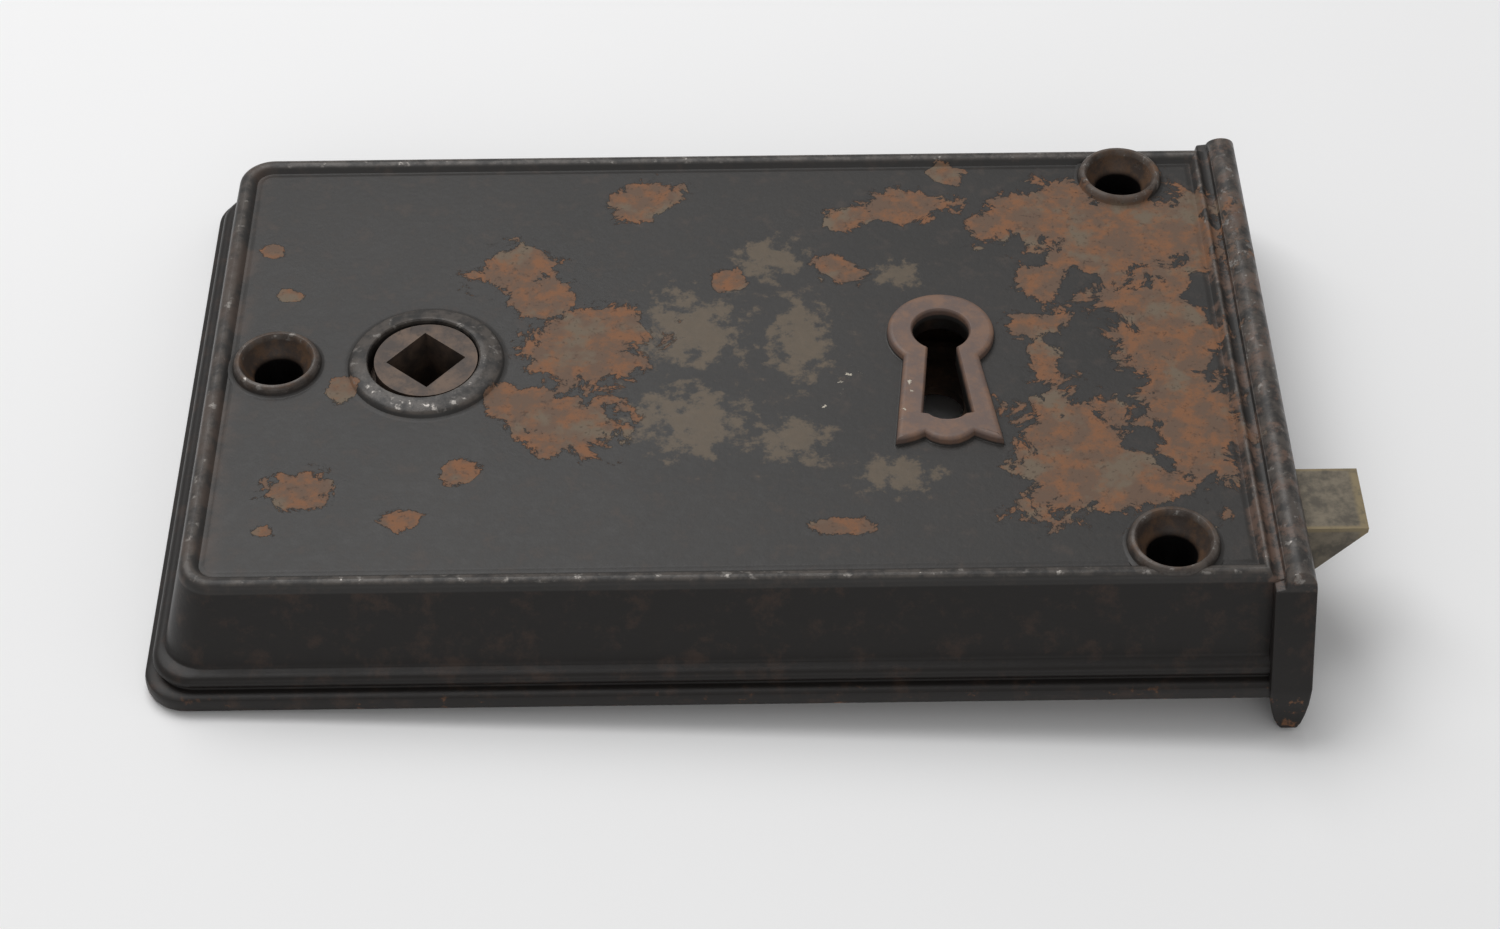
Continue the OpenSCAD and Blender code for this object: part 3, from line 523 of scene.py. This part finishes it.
def old_brass(name, lo, hi):
    """Tarnished brass, rubbed lighter along the head's end and its upper edges."""
    k = Net(name)
    grain = k.noise(2.4, 7, 0.65, offset=3.0)
    brushed = k.noise(0.8, 4, 0.6, stretch=(0.25, 1, 1), offset=9.0)
    color = k.mix(k.step(grain, 0.35, 0.66), (0.110, 0.098, 0.080), (0.215, 0.185, 0.140))
    end = k.step(k.x, hi[0] - 1.5, hi[0] - 0.7)
    edge = k.math("MAXIMUM", k.step(k.y, lo[1] + 0.7, lo[1] + 0.25), k.step(k.y, hi[1] - 0.6, hi[1] - 0.2))
    edge = k.math("MULTIPLY", edge, k.step(k.z, hi[2] - 0.9, hi[2] - 0.4))
    edge = k.math("MULTIPLY", k.math("MAXIMUM", edge, end), k.step(k.z, hi[2] - 3.0, hi[2] - 1.6))
    edge = k.math("MULTIPLY", edge, k.step(grain, 0.30, 0.52))
    color = k.mix(k.math("MULTIPLY", edge, 0.8), color, (0.27, 0.215, 0.125))
    rough = k.math("MULTIPLY_ADD", grain, 0.24, 0.34)
    return k.done(color, rough, 0.55, k.bump(brushed, 0.22, 0.08))


FINISH = {
    "sheet_iron": plain_iron("rusty_sheet", (0.055, 0.040, 0.032), (0.13, 0.078, 0.050), 5.0, 0.5, 0.1),
    "bare_iron": plain_iron("bare_iron_dull", (0.070, 0.062, 0.056), (0.16, 0.14, 0.125), 3.0, 0.32, 0.7),
    "hub_iron": plain_iron("hub_iron_brown", (0.058, 0.046, 0.040), (0.135, 0.094, 0.070), 3.4, 0.36, 0.3),
    "rivet_iron": plain_iron("rivet_iron_filed", (0.12, 0.11, 0.095), (0.22, 0.20, 0.17), 1.6, 0.30, 0.8),
    "lever_brass": plain_iron("lever_brass_dull", (0.16, 0.125, 0.062), (0.30, 0.235, 0.12), 4.0, 0.32, 0.8),
    "spring_steel": plain_iron("spring_wire", (0.12, 0.118, 0.115), (0.24, 0.235, 0.23), 1.2, 0.28, 0.9),
}
case_mat = iron_case()
body.data.materials.clear()
body.data.materials.append(case_mat)
slots = {s["node"]: s["material_slot"] for s in frame["record"]["subparts"]}
for name, obj in frame["nodes"].items():
    if name == "case":
        continue
    if name == "latch_head":
        mat = old_brass("latch_brass", latch_lo, latch_hi)
    elif name == "dead_bolt_head":
        mat = old_brass("dead_bolt_brass", dead_lo, dead_hi)
    else:
        mat = FINISH[slots[name]]
    obj.data.materials.clear()
    obj.data.materials.append(mat)
for name, width in (("latch_head", 0.35), ("dead_bolt_head", 0.3), ("hub", 0.28)):
    b = frame["nodes"][name].modifiers.new("worn edges", "BEVEL")
    b.width = width * MM
    b.segments = 3
    b.limit_method = "ANGLE"
    b.angle_limit = math.radians(40)
    b.use_clamp_overlap = True

# ---------------------------------------------------------------- floor, light and camera
# The lock rests on its rear edge and on the front plate's lip, so it stands a little tilted
rest_a, rest_b = case_lo[0], front_x - 2.6
slope = case_lo[2] / (rest_b - rest_a)
CORNERS = [(-4000, -3000), (4000, -3000), (4000, 9000), (-4000, 9000)]
floor = make("floor", [(x, y, slope * (x - rest_a)) for x, y in CORNERS], [(0, 1, 2, 3)])
paper = Net("white_paper")
tone = paper.mix(paper.noise(220.0, 3, 0.5), (0.93, 0.93, 0.935), (0.95, 0.95, 0.95))
floor.data.materials.append(paper.done(tone, 0.75))

world = bpy.data.worlds.new("studio")
world.use_nodes = True
world.node_tree.nodes["Background"].inputs["Color"].default_value = (1.0, 1.0, 1.0, 1.0)
world.node_tree.nodes["Background"].inputs["Strength"].default_value = 0.37
scene.world = world
scene.view_settings.view_transform = "Standard"


def soft_light(name, at, to, size, power):
    data = bpy.data.lights.new(name, "AREA")
    data.shape = "RECTANGLE"
    data.size, data.size_y = size
    data.energy = power
    obj = bpy.data.objects.new(name, data)
    obj.location = at
    obj.rotation_euler = (Vector(to) - Vector(at)).to_track_quat("-Z", "Y").to_euler()
    scene.collection.objects.link(obj)


soft_light("overhead", (-0.25, 0.45, 0.95), (0.04, 0.0, 0.0), (0.9, 0.7), 7.7)
soft_light("front_fill", (0.1, -0.9, 0.55), (0.04, 0.0, 0.0), (0.9, 0.4), 1.1)

camera = bpy.data.cameras.new("camera")
camera.sensor_width = 36.0
camera.lens = 73.2
camera.clip_start, camera.clip_end = 0.01, 50.0
eye = bpy.data.objects.new("camera", camera)
turn = (Matrix.Rotation(math.radians(44.48), 4, "X") @ Matrix.Rotation(math.radians(-0.28), 4, "Y")
        @ Matrix.Rotation(math.radians(-0.70), 4, "Z"))
eye.matrix_world = Matrix.Translation((0.04376, -0.31488, 0.31520)) @ turn
scene.collection.objects.link(eye)
scene.camera = eye
